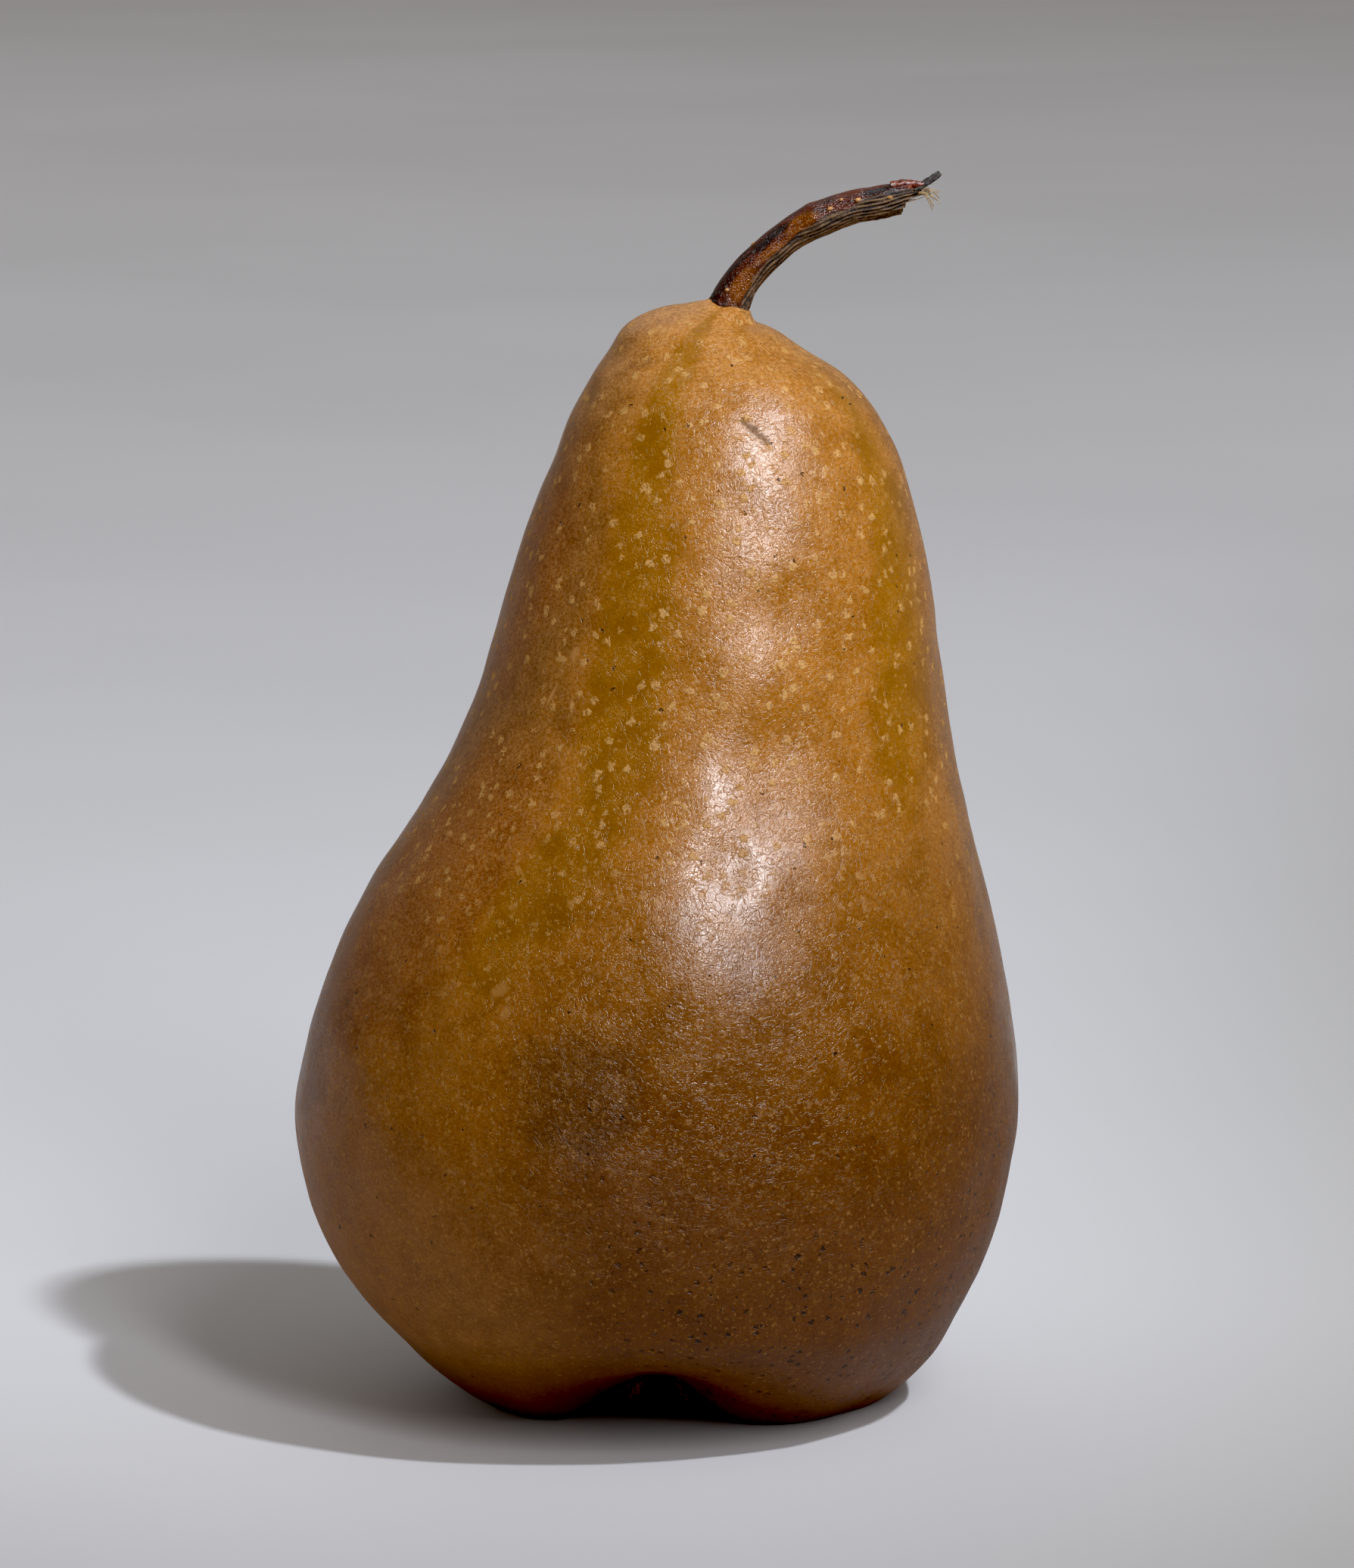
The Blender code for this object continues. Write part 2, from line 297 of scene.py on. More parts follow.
fruit = {
    "subdivisions": 3,
    "axis": (30.0, 90.0, 6.4),  # upright up to the first height, this far across from the second height on
    "swell": [(26.0, 0.34), (12.0, 0.30), (6.0, 0.14), (2.8, 0.05)],  # unevenness: wavelength and size
    "dents": [  # azimuth, height, radius, depth; a negative depth is a bump
        (8.0, 57.0, 3.0, 0.45), (10.0, 88.0, 4.0, 0.3), (20.0, 80.0, 4.5, 0.35), (16.0, 68.0, 4.0, 0.35),
        (20.0, 62.0, 5.0, 0.4), (14.0, 52.0, 4.5, 0.3), (2.0, 71.0, 4.0, 0.2), (-3.0, 81.0, 5.0, 0.25),
        (8.0, 49.0, 13.0, -1.3), (4.0, 37.0, 12.0, 0.7), (10.0, 71.0, 5.0, -0.35),
        (-25.0, 18.0, 9.0, -0.9), (13.0, 74.0, 3.5, -0.2), (12.0, 84.0, 3.0, -0.15), (3.0, 62.0, 3.5, -0.2),
    ],
    "feet": (0.8, 1.4, 9.0),  # how far pressed flat, how much more at the back, up to what height
    "feetBack": 14.0,  # how far behind the middle the extra pressing is full
    "feetEdge": 0.15,  # how softly they meet the floor
    "frontReach": 12.0,  # the front feet are moved in full this far in front, fading up to this height
    "arch": (1.0, -1.2, 11.0, 4.5),  # place across, how far moved, how wide, how far the feet stand back
    "rightToe": (9.0, 5.0, 1.3),  # place across, how wide, how far moved to the left
    "socket": (2.4, 4.6, 0.55, 0.35, 0.75),  # from, to, drawn in, lifted, lifted more on the right
    "socketRim": (105.0, 106.6),  # the skin is drawn in from the first height, in full at the second
    "stemFoot": (1.47, 0.85, 0.58),  # across and up from the stem node's lowest corner, lean
    "gold": (156, 101, 2),
    "brown": (172, 108, 28),
    "scurf": (206, 150, 86),
    "thickAndShaded": (130, 82, 34),
    "ruddy": (150, 82, 16),
    "spot": (212, 160, 88),
    "crest": (216, 158, 96),
    "pit": (30, 18, 8),
    "mottle": (104, 60, 14),
    "crack": (92, 50, 12),
    "bruise": (70, 46, 16),
    "paintedShadeBelow": (26.0, 80.0, (148, 132, 76)),  # painted shade: below the first height the skin is this much darker
    "broad": (14.0, 2.0),  # grains: size, detail, roughness, warp
    "medium": (3.5, 3.0, 0.55),
    "fine": (0.30, 3.0, 0.65, 0.7),
    "hairs": (0.55, 1.0, 0.5, 1.4),
    "crackle": (1.3, 2.0, 0.6, 1.0),
    "bigSpots": ((0.0, 0.0, 0.0), 1.75, 0.54),  # round marks: offset, spacing, radius
    "flecks": ((31.0, 7.0, 13.0), 1.1, 0.31),
    "specks": ((5.0, 17.0, 43.0), 0.62, 0.17),
    "pits": ((3.0, 41.0, 23.0), 2.6, 0.2),
    "pitsBelow": ((13.0, 4.0, 3.0), 1.3, 0.3),
    "thinPatches": [  # where the russet is thin: azimuth, height, half width in degrees, half height, lean
        (-28.0, 95.0, 9.0, 12.0, 0.1),
        (-23.0, 76.0, 10.0, 17.0, -0.2),
        (-27.0, 55.0, 8.0, 9.0, 0.8),
        (60.0, 80.0, 12.0, 17.0, 0.3),
        (132.0, 66.0, 10.0, 16.0, 0.0),
        (-115.0, 82.0, 14.0, 16.0, 0.0),
        (175.0, 74.0, 12.0, 20.0, 0.0),
        (-150.0, 50.0, 12.0, 10.0, 0.0),
    ],
    "ruddyPatches": [
        (-60.0, 51.0, 20.0, 14.0, 0.6),
        (-66.0, 84.0, 14.0, 10.0, 0.0),
        (100.0, 40.0, 22.0, 10.0, 0.0),
    ],
    "thickAndShadedPatches": [  # where it is thick and dull; those on the left flank and the right rim are painted shade
        (-66.0, 74.0, 26.0, 24.0, 0.0),
        (-78.0, 46.0, 14.0, 14.0, 0.0),
        (-14.0, 37.0, 9.0, 5.0, 0.0),
        (94.0, 76.0, 24.0, 28.0, 0.0),
        (150.0, 52.0, 24.0, 14.0, 0.4),
        (-120.0, 30.0, 26.0, 12.0, 0.0),
    ],
    "scuffs": [  # pale rubbed marks, each laid out like a patch
        (-30.0, 46.0, 1.3, 0.6, 0.8),
        (-28.0, 44.0, 0.7, 0.6, 0.0),
        (-40.0, 76.0, 1.2, 0.5, 0.6),
        (-2.0, 34.0, 0.2, 0.5, 0.6),
        (78.0, 91.0, 1.6, 0.5, 0.0),
        (-44.0, 72.0, 0.5, 0.9, 0.8),
        (38.0, 34.0, 0.6, 0.25, 0.0),
    ],
    "slits": [  # azimuth and height of both ends, half width, depth
        (7.0, 97.5, 16.0, 95.5, 0.4, 0.07),
    ],
}


def softStep(value, low, high):
    t = np.clip((value - low) / (high - low), 0, 1)
    return t * t * (3 - 2 * t)


def readVectors(items, key):
    found = np.empty(len(items) * 3)
    items.foreach_get(key, found)
    return found.reshape(-1, 3)


def patches(finish, azimuth, height, rows, unevenness):  # how far each place is inside any of the patches
    nearest = None
    for at, level, wide, tall, lean in rows:
        rise = height - level
        turn = azimuth.maths("WRAP", azimuth - at - rise * lean, 180.0, -180.0) / wide
        share = turn * turn + (rise / tall) * (rise / tall)
        nearest = share if nearest is None else share.maths("MINIMUM", nearest, share)
    return finish.step(nearest + unevenness, 2.1, 0.3)


def fineCopy(node, name, levels):  # a CAD node's shape as a smooth, close mesh
    bm = bmesh.new()
    bm.from_mesh(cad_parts[node].data)
    bmesh.ops.remove_doubles(bm, verts=bm.verts, dist=1e-6)
    bmesh.ops.join_triangles(bm, faces=bm.faces, angle_face_threshold=math.radians(60),
                             angle_shape_threshold=math.radians(140))
    mesh = bpy.data.meshes.new(name + "Cage")
    bm.to_mesh(mesh)
    bm.free()
    cage = bpy.data.objects.new(name + "Cage", mesh)
    scene.collection.objects.link(cage)
    divide = cage.modifiers.new("divide", "SUBSURF")
    divide.levels = divide.render_levels = 1
    wanted = readVectors(mesh.vertices, "co")
    for settling in range(4):  # the cage swells until the smooth surface goes through the node's own corners
        smooth = cage.evaluated_get(bpy.context.evaluated_depsgraph_get()).data
        short = wanted - readVectors(smooth.vertices, "co")[:len(wanted)]
        short *= np.clip(wanted[:, 2:3] / (4 * mm) - 0.3, 0, 1)  # but not at the feet, which are flat
        mesh.vertices.foreach_set("co", (readVectors(mesh.vertices, "co") + short * 0.9).ravel())
        mesh.update()
        cage.update_tag()
    divide.levels = divide.render_levels = levels
    fine = bpy.data.meshes.new_from_object(cage.evaluated_get(bpy.context.evaluated_depsgraph_get()))
    bpy.data.objects.remove(cage)
    fine.name = name
    fine.materials.clear()
    fine.shade_smooth()
    made = bpy.data.objects.new(name, fine)
    scene.collection.objects.link(made)
    return made


def bearings(points):  # azimuth in degrees round the fruit's own axis, and distance from it
    low, high, across = fruit["axis"]
    t = np.clip((points[:, 2] - low) / (high - low), 0, 1)
    aside = points[:, 0] - across * t * t * (3 - 2 * t)  # the same soft step as in the finish
    return np.degrees(np.arctan2(aside, -points[:, 1])), np.hypot(aside, points[:, 1])


def onSkin(points, azimuth, height):  # the skin's nearest point to an azimuth and height
    around, reach = bearings(points)
    turn = np.radians((around - azimuth + 180) % 360 - 180) * reach
    return Vector(points[np.argmin(turn**2 + (points[:, 2] - height) ** 2)])


def shapeSkin(skin):
    points = readVectors(skin.data.vertices, "co") / mm
    normals = readVectors(skin.data.vertex_normals, "vector")
    azimuth, reach = bearings(points)
    push = np.zeros(len(points))
    for wavelength, size in fruit["swell"]:
        push += size * np.array([noise.noise(Vector(p) / wavelength) for p in points])
    for at, height, radius, depth in fruit["dents"]:
        turn = np.radians((azimuth - at + 180) % 360 - 180) * reach
        push -= depth * np.exp(-(turn**2 + (points[:, 2] - height) ** 2) / (2 * (radius / 1.6) ** 2))
    points += normals * push[:, None]
    pressed, pressedBehind, upTo = fruit["feet"]
    press = pressed + pressedBehind * softStep(points[:, 1], 0.0, fruit["feetBack"])
    press = press * np.clip(1 - points[:, 2] / upTo, 0, 1)
    archAt, archMove, archWide, standBack = fruit["arch"]
    toeAt, toeWide, toeMove = fruit["rightToe"]
    frontReach = fruit["frontReach"]
    facingFront = np.clip(-points[:, 1] / frontReach, 0, 1) * softStep(points[:, 2], frontReach, 0.0)
    points[:, 0] += archMove * facingFront * np.exp(-(((points[:, 0] - archAt) / archWide) ** 4))
    points[:, 0] -= toeMove * facingFront * np.exp(-(((points[:, 0] - toeAt) / toeWide) ** 2))
    points[:, 1] += standBack * facingFront
    foot = points[:, 2] < upTo
    pressedTo = points[foot, 2] - press[foot]
    points[foot, 2] = (pressedTo + np.sqrt(pressedTo**2 + fruit["feetEdge"]**2)) / 2
    inner, outer, drawnIn, lifted, liftedRight = fruit["socket"]
    footAcross, footUp, lean = fruit["stemFoot"]
    stemLow, stemHigh = (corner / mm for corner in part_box("stem"))
    axisX = stemLow.x + footAcross + (points[:, 2] - stemLow.z - footUp) * lean
    fromAxis = points[:, :2] - np.stack([axisX, np.full(len(points), (stemLow.y + stemHigh.y) / 2)], 1)
    away = np.hypot(fromAxis[:, 0], fromAxis[:, 1])
    rim = softStep(away, outer, inner) * softStep(points[:, 2], *fruit["socketRim"])
    points[:, :2] -= fromAxis * (drawnIn * rim / np.maximum(away, 1.0))[:, None]
    points[:, 2] += rim * (lifted + liftedRight * softStep(fromAxis[:, 0], -1.0, 2.0))
    points[:, 2] -= points[:, 2].min() * np.clip(1 - points[:, 2] / 6, 0, 1)
    ends = []
    for startTurn, startHeight, endTurn, endHeight, half, depth in fruit["slits"]:
        start, end = onSkin(points, startTurn, startHeight), onSkin(points, endTurn, endHeight)
        run = np.array(end - start)
        along = np.clip((points - np.array(start)) @ run / (run @ run), 0, 1)
        away = np.linalg.norm(points - np.array(start) - along[:, None] * run, axis=1)
        points -= normals * (depth * np.exp(-((away / half) ** 2)))[:, None]
        ends.append((start, end, half))
    skin.data.vertices.foreach_set("co", (points * mm).ravel())
    skin.data.update()
    return ends


def skinFinish(slitEnds):
    russet = Finish("russetSkin")
    place = russet.inMillimetres()
    x, y, height = russet.parts(place)
    axisLow, axisHigh, across = fruit["axis"]
    aside = x - russet.step(height, axisLow, axisHigh, 0.0, across)
    azimuth = x.maths("ARCTAN2", aside, y * -1.0) * math.degrees(1)

    broad = russet.grain(place, *fruit["broad"])
    medium = russet.grain(place, *fruit["medium"])
    fine = russet.grain(place, *fruit["fine"])
    hairs = abs(russet.grain(place, *fruit["hairs"]) - 0.5)

    uneven = (medium - 0.5) * 1.5 + (broad - 0.5) * 1.5
    thin = patches(russet, azimuth, height, fruit["thinPatches"], uneven)
    ruddy = patches(russet, azimuth, height, fruit["ruddyPatches"], uneven) * (1 - thin)
    thickAndShaded = patches(russet, azimuth, height, fruit["thickAndShadedPatches"], uneven * 1.3) * (1 - thin)

    cover = 1 - thin * 0.8
    scurf = russet.step(fine, 0.43, 0.60) * cover
    fibre = russet.step(hairs, 0.06, 0.0) * russet.step(medium, 0.35, 0.6)
    crackle = russet.step(abs(russet.grain(place, *fruit["crackle"]) - 0.5), 0.035, 0.0)

    wobble = russet.vectors("SUBTRACT", russet.grain(place, 0.45, 1.0, out=1), (0.5, 0.5, 0.5))
    wobble = russet.add("ShaderNodeVectorMath", {"operation": "SCALE"}, {0: wobble, "Scale": 0.9})
    loose = russet.vectors("ADD", place, wobble)

    def dots(offset, cell, radius):  # round marks, no two alike
        away = russet.cells(russet.vectors("ADD", loose, offset), cell)
        return russet.step(away, radius / cell, radius * 0.5 / cell)

    onNeck = russet.step(height + (broad - 0.5) * 30.0, 44.0, 64.0)
    bigSpots = dots(*fruit["bigSpots"])
    flecks = dots(*fruit["flecks"])
    scuffs = patches(russet, azimuth, height, fruit["scuffs"], (fine - 0.5) * 4.0)
    spots = russet.larger(bigSpots * (0.35 + 0.65 * onNeck), flecks * (0.7 - 0.35 * onNeck))
    spots = spots * russet.step(fine, 0.30, 0.52) * (0.7 + 0.3 * onNeck)
    specks = dots(*fruit["specks"]) * (1 - onNeck * 0.5)
    underside = russet.step(height + (broad - 0.5) * 30.0, 34.0, 20.0) * russet.step(azimuth, -25.0, 5.0)
    pits = russet.larger(dots(*fruit["pits"]), dots(*fruit["pitsBelow"]) * underside)

    colour = russet.blend(thin, tint(*fruit["brown"]), tint(*fruit["gold"]))
    # painted shade on the left flank and the right rim; thick, dull russet elsewhere
    colour = russet.blend(thickAndShaded * 0.75, colour, tint(*fruit["thickAndShaded"]))
    colour = russet.blend(ruddy * 0.8, colour, tint(*fruit["ruddy"]))
    colour = russet.blend(russet.step(medium, 0.60, 0.36) * 0.22, colour, tint(*fruit["mottle"]))
    colour = russet.blend(crackle * 0.28 * cover, colour, tint(*fruit["crack"]))
    colour = russet.blend(scurf * 0.34, colour, tint(*fruit["scurf"]))
    colour = russet.blend(russet.larger(fibre * 0.4, scuffs * 0.7), colour, tint(*fruit["scurf"]))
    crest = russet.step(height + (medium - 0.5) * 20.0, 94.0, 108.0)
    colour = russet.blend(crest * (0.1 + 0.4 * scurf), colour, tint(*fruit["crest"]))
    colour = russet.blend(spots * 0.85, colour, tint(*fruit["spot"]))
    # painted shade: the lower skin is multiplied darker; the easing lightens it on the left flank, but not at
    # the very bottom
    dusk, dawn, darker = fruit["paintedShadeBelow"]
    lowDown = russet.step(height + (broad - 0.5) * 16.0, dawn, dusk)
    shadeEasing = 1 - 0.42 * russet.step(azimuth, -5.0, -40.0) * russet.step(azimuth, -130.0, -90.0)
    shadeEasing = shadeEasing + 0.3 * russet.step(height, 12.0, 4.0)
    colour = russet.blend(lowDown * shadeEasing * (1 - spots * 0.15), colour, tint(*darker), "MULTIPLY")
    colour = russet.blend(specks * 0.22, colour, tint(*fruit["spot"]))
    colour = russet.blend(pits * 0.85, colour, tint(*fruit["pit"]))
    bruised = []
    for start, end, half in slitEnds:
        near = russet.step(russet.toLine(place, start, end) + (fine - 0.5) * 1.4, half * 1.5, half * 0.1)
        colour = russet.blend(near * 0.6, colour, tint(*fruit["bruise"]))
        bruised.append(near)

    dull = russet.step(height + (broad - 0.5) * 14.0, 36.0, 22.0)
    gloss = 0.22 + 0.35 * spots + 0.10 * thickAndShaded + 0.3 * dull + (fine - 0.5) * 0.3
    for bruise in bruised:
        gloss = gloss + 0.4 * bruise
    soft = russet.grain(place, 4.0, 1.0)
    relief = russet.bump(soft * 0.6 + medium * 0.35 + spots * 0.3 - pits - crackle * 0.16, 0.11)
    relief = russet.bump(fine + fibre * 0.3, 0.038, relief)
    return russet.surface(Base_Color=colour, Roughness=gloss, Normal=relief, Specular_IOR_Level=0.33)


skin = fineCopy("fruit", "skin", fruit["subdivisions"])
slitEnds = shapeSkin(skin)
skin.data.materials.append(skinFinish(slitEnds))
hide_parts("fruit")
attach(skin, "root")
print("skin:", len(skin.data.polygons), "faces")


# the stem

stem = {
    "line": [  # across and height from the node's lowest corner, and radius
        (1.47, 0.85, 2.05), (2.62, 2.84, 2.0), (4.15, 5.54, 1.75), (6.52, 8.0, 1.64), (9.22, 10.16, 1.62),
        (11.42, 11.28, 1.72), (15.02, 12.5, 1.62), (18.22, 13.14, 1.52), (21.2, 13.95, 1.2),
    ],
    "rings": 250,
    "sides": 96,
    "woodyFrom": [  # bare fibres below the bark: along, angle from the top
        (0.0, 150.0), (4.0, 122.0), (8.0, 106.0), (12.0, 96.0), (18.0, 80.0), (21.0, 64.0), (25.0, 46.0),
    ],
    "furrows": 13.0,  # half as many as go all the way round
    "knuckle": (14.4, 0.8, 0.22),  # along, half length, rise
    "tornAt": [  # angle from the top, along
        (0.0, 24.0), (60.0, 24.4), (95.0, 24.0), (140.0, 22.6), (180.0, 22.0),
    ],
    "mmPerDegree": 0.027,
    "pores": [  # along, angle from the top, half length, half width, all but the angle in mm
        (16.1, 66.0, 0.26, 0.17), (17.3, 46.0, 0.17, 0.14), (18.8, 64.0, 0.26, 0.19), (21.8, 76.0, 0.24, 0.15),
        (8.4, 10.0, 0.22, 0.15), (3.9, 62.0, 0.18, 0.15), (16.0, -60.0, 0.24, 0.16), (9.5, -95.0, 0.2, 0.16),
    ],
    "charred": [  # along, angle, half length, half width in degrees
        (9.8, 46.0, 2.2, 22.0), (20.4, 34.0, 1.3, 20.0), (22.6, 58.0, 1.1, 14.0), (1.8, 20.0, 1.3, 60.0),
        (13.5, -70.0, 2.4, 30.0),
    ],
    "amber": [(5.0, 92.0, 2.4, 30.0), (12.8, 70.0, 2.0, 28.0), (9.6, 88.0, 2.4, 16.0)],
    "bark": (96, 38, 16),
    "barkDark": (48, 18, 10),
    "amberColour": (140, 78, 14),
    "charColour": (18, 15, 16),
    "fibreLight": (140, 108, 76),
    "fibreDarkAndGrooveShade": (26, 15, 9),
    "footColour": (64, 36, 22),
    "poreColour": (226, 168, 104),
    "lipColour": (146, 68, 42),
    "strawColour": (206, 178, 128),
}


def smoothLine(rows, count):  # a smooth run of rows through the given ones, evenly spaced
    rows = np.array(rows, float)
    knots = np.concatenate([[0], np.cumsum(np.linalg.norm(np.diff(rows, axis=0), axis=1))])
    slopes = np.gradient(rows, knots, axis=0)
    places = np.linspace(0, knots[-1], count)
    k = np.clip(np.searchsorted(knots, places, side="right") - 1, 0, len(rows) - 2)
    span = (knots[k + 1] - knots[k])[:, None]
    t = ((places - knots[k]) / span[:, 0])[:, None]
    return (rows[k] * (2 * t**3 - 3 * t**2 + 1) + slopes[k] * span * (t**3 - 2 * t**2 + t)
            + rows[k + 1] * (3 * t**2 - 2 * t**3) + slopes[k + 1] * span * (t**3 - t**2))


def tube(line, radius, sides):  # a closed tube; radius takes distance along and degrees round
    line = np.array(line, float)
    along = np.concatenate([[0], np.cumsum(np.linalg.norm(np.diff(line, axis=0), axis=1))])
    ahead = np.gradient(line, axis=0)
    ahead /= np.linalg.norm(ahead, axis=1)[:, None]
    front = np.array([0.0, -1.0, 0.0]) - ahead * (ahead @ np.array([0.0, -1.0, 0.0]))[:, None]
    front /= np.linalg.norm(front, axis=1)[:, None]
    top = np.cross(front, ahead)
    top *= np.sign(top[:, 2:3] + 1e-9)
    around = np.linspace(-180, 180, sides, endpoint=False)
    alongAll, aroundAll = np.repeat(along, sides), np.tile(around, len(line))
    turn = np.radians(aroundAll)[:, None]
    outward = np.repeat(top, sides, axis=0) * np.cos(turn) + np.repeat(front, sides, axis=0) * np.sin(turn)
    points = np.repeat(line, sides, axis=0) + outward * radius(alongAll, aroundAll)[:, None]
    faces = []
    for i in range(len(line) - 1):
        for j in range(sides):
            a, b = i * sides + j, i * sides + (j + 1) % sides
            faces.append((a, b, b + sides, a + sides))
    faces.append(tuple(range(sides))[::-1])
    faces.append(tuple(range((len(line) - 1) * sides, len(line) * sides)))
    return points, faces, alongAll, aroundAll


def makePiece(name, tubes, marks=None):  # one mesh of several tubes; marks are values kept on its points
    points, faces = [], []
    for part in tubes:
        faces += [tuple(i + len(points) for i in face) for face in part[1]]
        points += [tuple(p) for p in part[0] * mm]
    mesh = bpy.data.meshes.new(name)
    mesh.from_pydata(points, [], faces)
    bm = bmesh.new()
    bm.from_mesh(mesh)
    bmesh.ops.recalc_face_normals(bm, faces=bm.faces)
    bm.to_mesh(mesh)
    bm.free()
    for key, values in (marks or {}).items():
        kind, field = ("FLOAT", "value") if values.ndim == 1 else ("FLOAT_VECTOR", "vector")
        mesh.attributes.new(key, kind, "POINT").data.foreach_set(field, values.astype(np.float32).ravel())
    mesh.shade_smooth()
    made = bpy.data.objects.new(name, mesh)
    scene.collection.objects.link(made)
    return made


def roughness(along, around, long, wide, seed=0.0):  # noise over a tube, from -1 to 1
    turn = np.radians(around)
    places = np.stack([along / long + seed, np.cos(turn) * 1.6 / wide, np.sin(turn) * 1.6 / wide], 1)
    return np.array([noise.noise(Vector(p)) for p in places])


def spotsOn(along, around, spots, mmPerDegree=None):  # how much of any of the ovals covers each point
    found = np.zeros(len(along))
    for at, angle, halfLength, halfWidth in spots:
        aside = (around - angle + 180) % 360 - 180
        if mmPerDegree:
            aside = aside * mmPerDegree
        away = np.hypot((along - at) / halfLength, aside / halfWidth)
        found = np.maximum(found, softStep(away, 1.2, 0.6))
    return found


def makeStem():
    low, high = (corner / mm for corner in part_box("stem"))
    middle = (low.y + high.y) / 2
    rows = smoothLine(stem["line"], stem["rings"])
    line = np.stack([low.x + rows[:, 0], np.full(len(rows), middle), low.z + rows[:, 1]], 1)
    marks = {}

    def radius(along, around):
        steep = np.abs(around)
        plain = np.repeat(rows[:, 2], stem["sides"])
        wander = roughness(along, around, 2.5, 1.2, 5.0)
        woodyFrom = np.interp(along, *zip(*stem["woodyFrom"]))
        woody = softStep(steep + wander * 16, woodyFrom - 5, woodyFrom + 6)
        winding = roughness(along, around, 3.0, 3.0, 9.0) * 3.2
        furrow = np.abs(np.sin(np.radians(around * stem["furrows"]) + winding))
        flaky = roughness(along, around, 1.6, 0.35, 2.0)
        late = softStep(along, 16.5, 21.5)
        knuckle, halfKnuckle, rise = stem["knuckle"]
        pores = spotsOn(along, around, stem["pores"], stem["mmPerDegree"])
        char = spotsOn(along + wander * 0.8, around + flaky * 10, stem["charred"])
        torn = np.interp(steep, *zip(*stem["tornAt"]))
        torn = torn + roughness(along * 0, around, 1.0, 0.3, 3.0) * 0.9
        gone = softStep(along, torn - 0.05, torn + 0.35)
        marks["woody"], marks["pores"], marks["char"] = woody, pores, char
        marks["amber"] = spotsOn(along + wander * 0.7, around + wander * 14, stem["amber"])
        marks["torn"] = softStep(along, torn - 1.6, torn - 0.2)
        marks["foot"] = softStep(along, 4.0, 1.8)
        marks["furrow"] = furrow
        turn = np.radians(around)
        marks["lengthwise"] = np.stack([along / 6, np.cos(turn) * plain, np.sin(turn) * plain], 1)
        swell = woody * (-0.10 + (furrow - 0.5) * (0.16 + 0.22 * late) + flaky * (0.08 + 0.14 * late))
        swell += (1 - woody) * (wander * 0.09 + flaky * (0.02 + 0.10 * late))
        swell += marks["foot"] * roughness(along, around, 0.5, 0.4, 7.0) * 0.16
        onTop = softStep(np.cos(np.radians(around - 50)), 0, 1)
        swell += rise * np.exp(-(((along - knuckle) / halfKnuckle) ** 2)) * onTop
        swell += pores * 0.13 - char * 0.07
        return (plain + swell) * (1 - 0.72 * gone)

    body = tube(line, radius, stem["sides"])
    return makePiece("stemWood", [body], marks), line[-1]


def stemFinish():
    bark = Finish("stemBark")
    lengthwise = bark.painted("lengthwise", 1)
    woody, pores, char, amber = (bark.painted(name) for name in ("woody", "pores", "char", "amber"))
    torn, foot, furrow = (bark.painted(name) for name in ("torn", "foot", "furrow"))
    streak = bark.grain(lengthwise, 0.28, 3.0, 0.6)
    fine = bark.grain(bark.inMillimetres(), 0.18, 2.0, 0.6)
    patchy = bark.grain(lengthwise, 1.1, 2.0)
    darker = bark.step(patchy + (streak - 0.5) * 0.8, 0.35, 0.65)
    colour = bark.blend(darker, tint(*stem["bark"]), tint(*stem["barkDark"]))
    colour = bark.blend(amber * bark.step(streak, 0.25, 0.55), colour, tint(*stem["amberColour"]))
    # painted shade: the fibres darken down in the furrows between them, and vary in tone with the streaks
    ridges = bark.step(furrow * 0.5 + (streak - 0.5) * 1.6 + (fine - 0.5) * 0.8, 0.05, 0.62)
    fibres = bark.blend(ridges, tint(*stem["fibreDarkAndGrooveShade"]), tint(*stem["fibreLight"]))
    colour = bark.blend(woody, colour, fibres)
    colour = bark.blend(char * (0.75 + bark.step(streak, 0.6, 0.4) * 0.2), colour, tint(*stem["charColour"]))
    colour = bark.blend(foot * bark.step(fine, 0.35, 0.6) * 0.7, colour, tint(*stem["footColour"]))
    colour = bark.blend(torn * (1 - woody) * bark.step(streak, 0.35, 0.55), colour, tint(*stem["lipColour"]))
    colour = bark.blend(pores, colour, tint(*stem["poreColour"]))
    gloss = 0.2 + 0.5 * woody + 0.3 * pores + (streak - 0.5) * 0.3
    relief = bark.bump(streak, 0.26)
    relief = bark.bump(fine, 0.11, relief)
    return bark.surface(Base_Color=colour, Roughness=gloss, Normal=relief, Specular_IOR_Level=0.4)


def plainFinish(name, light, dark, gloss, size):  # a dry, uneven finish for the small torn pieces
    dry = Finish(name)
    place = dry.inMillimetres()
    streak = dry.grain(place, size, 3.0, 0.65)
    colour = dry.blend(dry.step(streak, 0.35, 0.65), tint(*dark), tint(*light))
    gloss = gloss + (streak - 0.5) * 0.3
    return dry.surface(Base_Color=colour, Roughness=gloss, Normal=dry.bump(streak, size * 0.3))


def dress(piece, finish, slotName, *nodes):
    piece.data.materials.append(finish)
    if nodes:
        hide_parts(*nodes)
    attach(piece, "root")


tornEnd = {
    "splinter": [  # across and up from the wood's end, and radius
        (-1.8, -0.2, 0.34), (-0.4, 0.35, 0.36), (0.6, 0.95, 0.33), (1.4, 1.45, 0.30), (1.75, 1.75, 0.24),
    ],
    "lip": [(-3.0, 0.5, 0.55), (-1.8, 0.72, 0.5), (-0.7, 0.72, 0.42), (0.15, 0.72, 0.24), (0.6, 0.85, 0.05)],
    "rings": 40,
    "sides": 18,
    "forward": 0.25,  # both stand this far in front of the wood's middle
    "fibres": 16,
    "fibreRings": 26,
    "fibreSides": 6,
    "fibreSeed": 11,
    "splinterColours": ((66, 56, 46), (20, 17, 16)),  # light, dark
    "lipDark": (70, 26, 16),
    "strawDark": (150, 118, 76),
}


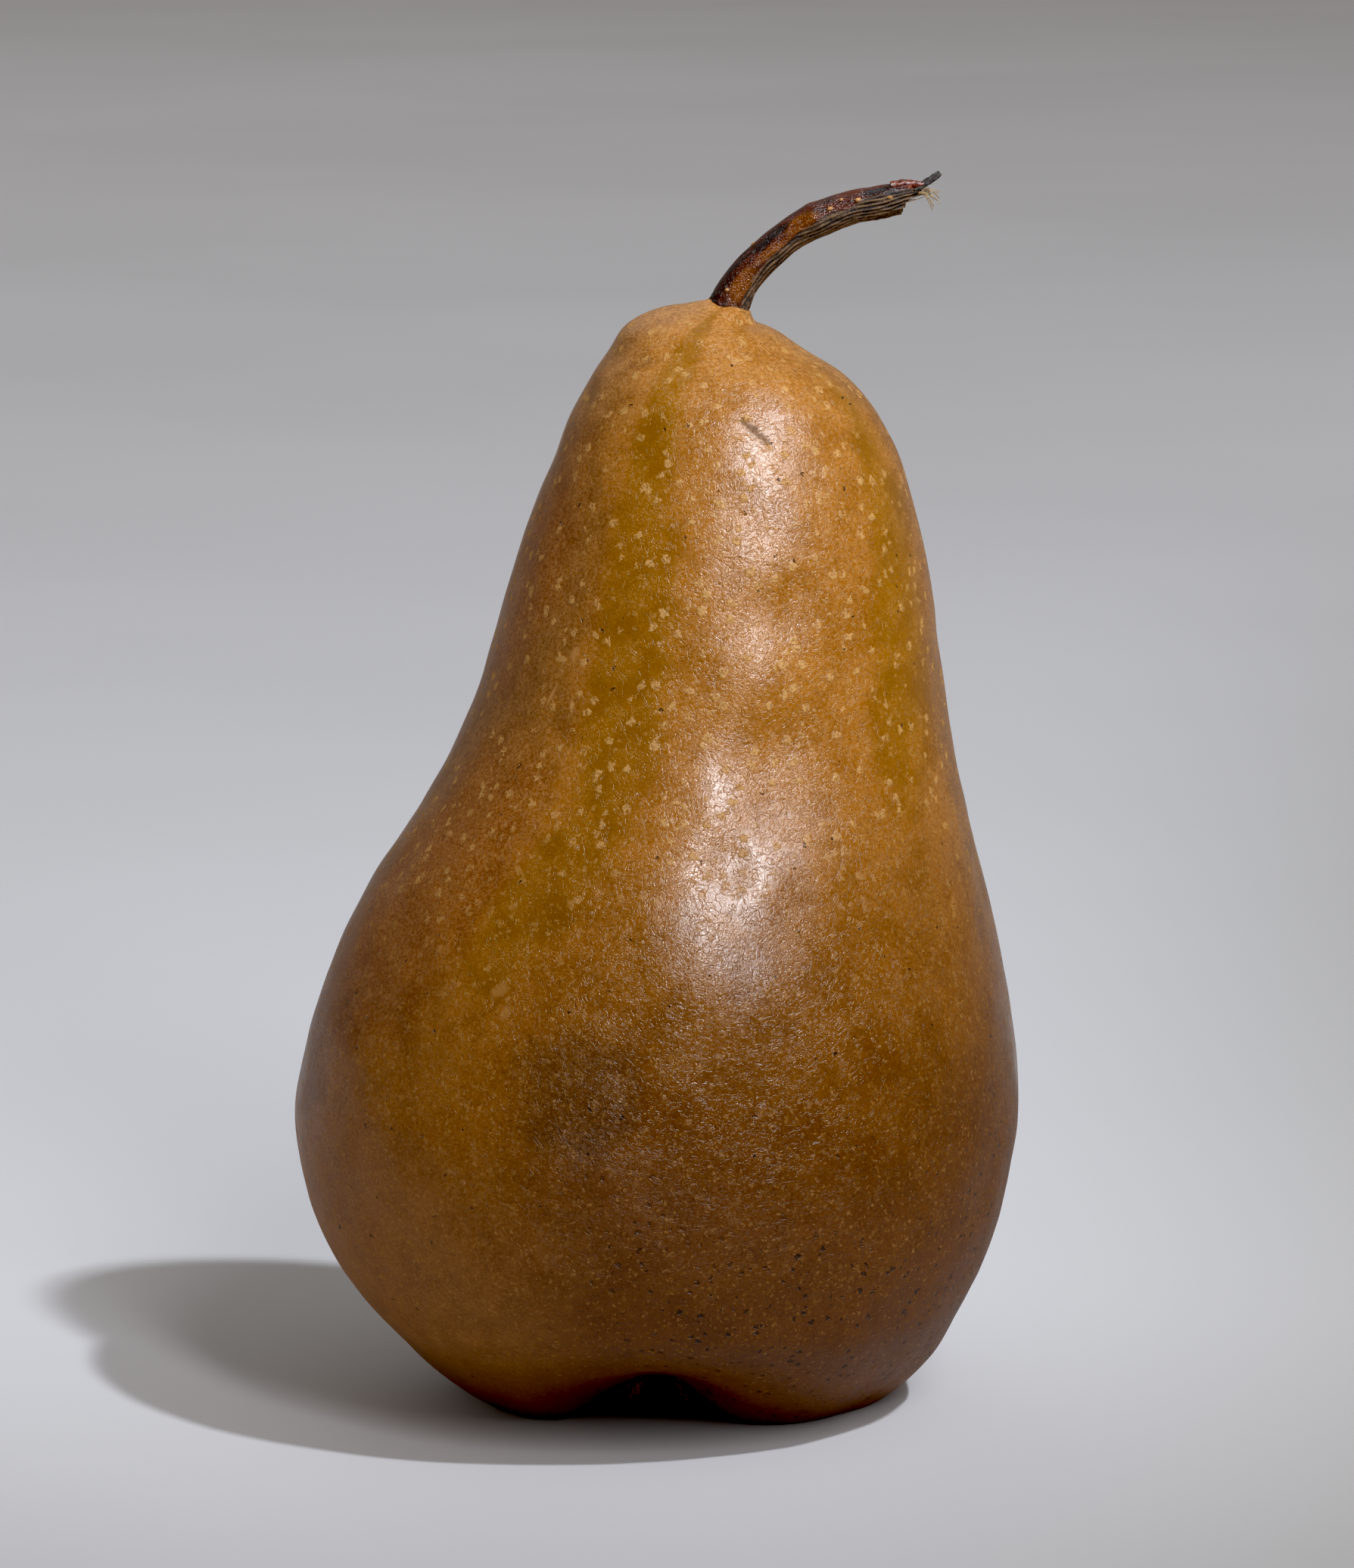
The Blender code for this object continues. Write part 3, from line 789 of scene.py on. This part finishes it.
def makeTornEnd(end):
    sides = tornEnd["sides"]
    splinter = smoothLine(tornEnd["splinter"], tornEnd["rings"])
    lip = smoothLine(tornEnd["lip"], tornEnd["rings"])

    def place(rows):
        return [(end[0] + across, end[1] - tornEnd["forward"], end[2] + up) for across, up, _ in rows]

    def chippedRadius(along, around):
        chips = 0.30 * roughness(along, around, 0.5, 1.0, 1.0)
        corners = 0.22 * np.cos(np.radians(around * 3))
        return np.repeat(splinter[:, 2], sides) * (1 + chips + corners)

    def flapRadius(along, around):
        flat = 0.55 + 0.75 * np.abs(np.sin(np.radians(around)))
        return np.repeat(lip[:, 2], sides) * flat * (1 + 0.2 * roughness(along, around, 0.5, 1.0, 4.0))

    chipped = tube(place(splinter), chippedRadius, sides)
    flap = tube(place(lip), flapRadius, sides)
    draw = np.random.default_rng(tornEnd["fibreSeed"])
    strands = []
    for number in range(tornEnd["fibres"]):
        low = number % 5 == 0
        start = end + np.array([-0.4, draw.uniform(-0.5, 0.4), draw.uniform(-0.2, 0.35)])
        reach, droop = draw.uniform(1.2, 2.4), draw.uniform(0.3, 1.9)
        if low:
            start += np.array([-1.0, 0.0, -0.9])
            reach, droop = draw.uniform(1.0, 1.7), draw.uniform(-0.2, 0.2)
        bend = draw.uniform(-0.3, 0.3)
        rows = [start + np.array([reach * t, bend * t * t, 0.25 * t - droop * t**2.4])
                for t in np.linspace(0, 1, 9)]
        rows = smoothLine(rows, tornEnd["fibreRings"])
        width = draw.uniform(0.045, 0.09)
        strands.append(tube(rows, lambda along, around, w=width: w * (1 - 0.6 * along / along.max()),
                            tornEnd["fibreSides"]))
    splinterPiece = makePiece("stemSplinter", [chipped])
    splinterPiece.data.shade_flat()
    return splinterPiece, makePiece("stemLip", [flap]), makePiece("stemFibres", strands)


wood, woodEnd = makeStem()
dress(wood, stemFinish(), "stem", "stem")
splinter, lip, strands = makeTornEnd(woodEnd)
dress(splinter, plainFinish("charcoal", *tornEnd["splinterColours"], 0.7, 0.25), "stem")
dress(lip, plainFinish("tornBark", stem["lipColour"], tornEnd["lipDark"], 0.3, 0.3), "stem")
dress(strands, plainFinish("straw", stem["strawColour"], tornEnd["strawDark"], 0.7, 0.4), "stem")
print("stem:", len(wood.data.polygons), "faces")


# the dried sepals

sepals = {
    "nodes": ["sepal_1", "sepal_2", "sepal_3", "sepal_4", "sepal_5"],
    "centre": 0.4,  # the calyx's middle, across
    "veins": 5,
    "veinDepth": 0.12,
    "width": 2.6,
    "roughness": 0.12,
    "curl": 0.35,
    "clearOfFloor": 0.15,
    "light": (182, 138, 96),
    "dark": (74, 46, 28),
}


def makeSepal(node, finish):
    blade = fineCopy(node, node.replace("_", "") + "Blade", 3)
    points = readVectors(blade.data.vertices, "co") / mm
    normals = readVectors(blade.data.vertex_normals, "vector")
    low, high = (np.array(corner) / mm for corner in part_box(node))
    outward = (low + high) / 2 - np.array([sepals["centre"], 0.0, 0.0])
    outward[2] = 0
    outward /= np.linalg.norm(outward)
    aside = np.array([-outward[1], outward[0], 0.0])
    across = (points - np.array([sepals["centre"], 0.0, 0.0])) @ aside
    down = (high[2] - points[:, 2]) / (high[2] - low[2])
    fold = np.cos(across * math.pi * sepals["veins"] / sepals["width"])
    rough = np.array([noise.noise(Vector(p) / 0.9) for p in points])
    tip = softStep(down, 0.45, 1.0)
    points += normals * (sepals["roughness"] * rough)[:, None]
    curled = sepals["curl"] * tip * (across / (sepals["width"] / 2)) ** 2
    points += outward * (sepals["veinDepth"] * fold + curled + 0.25 * rough * tip)[:, None]
    points[:, 2] += tip * 0.35 * np.array([noise.noise(Vector((a * 2.2, low[0], 1.0))) for a in across])
    points[:, 2] = np.maximum(points[:, 2], sepals["clearOfFloor"])
    blade.data.vertices.foreach_set("co", (points * mm).ravel())
    blade.data.update()
    dress(blade, finish, "sepal", node)


driedFinish = plainFinish("driedSepal", sepals["light"], sepals["dark"], 0.75, 0.35)
for node in sepals["nodes"]:
    makeSepal(node, driedFinish)
print("sepals:", len(sepals["nodes"]))
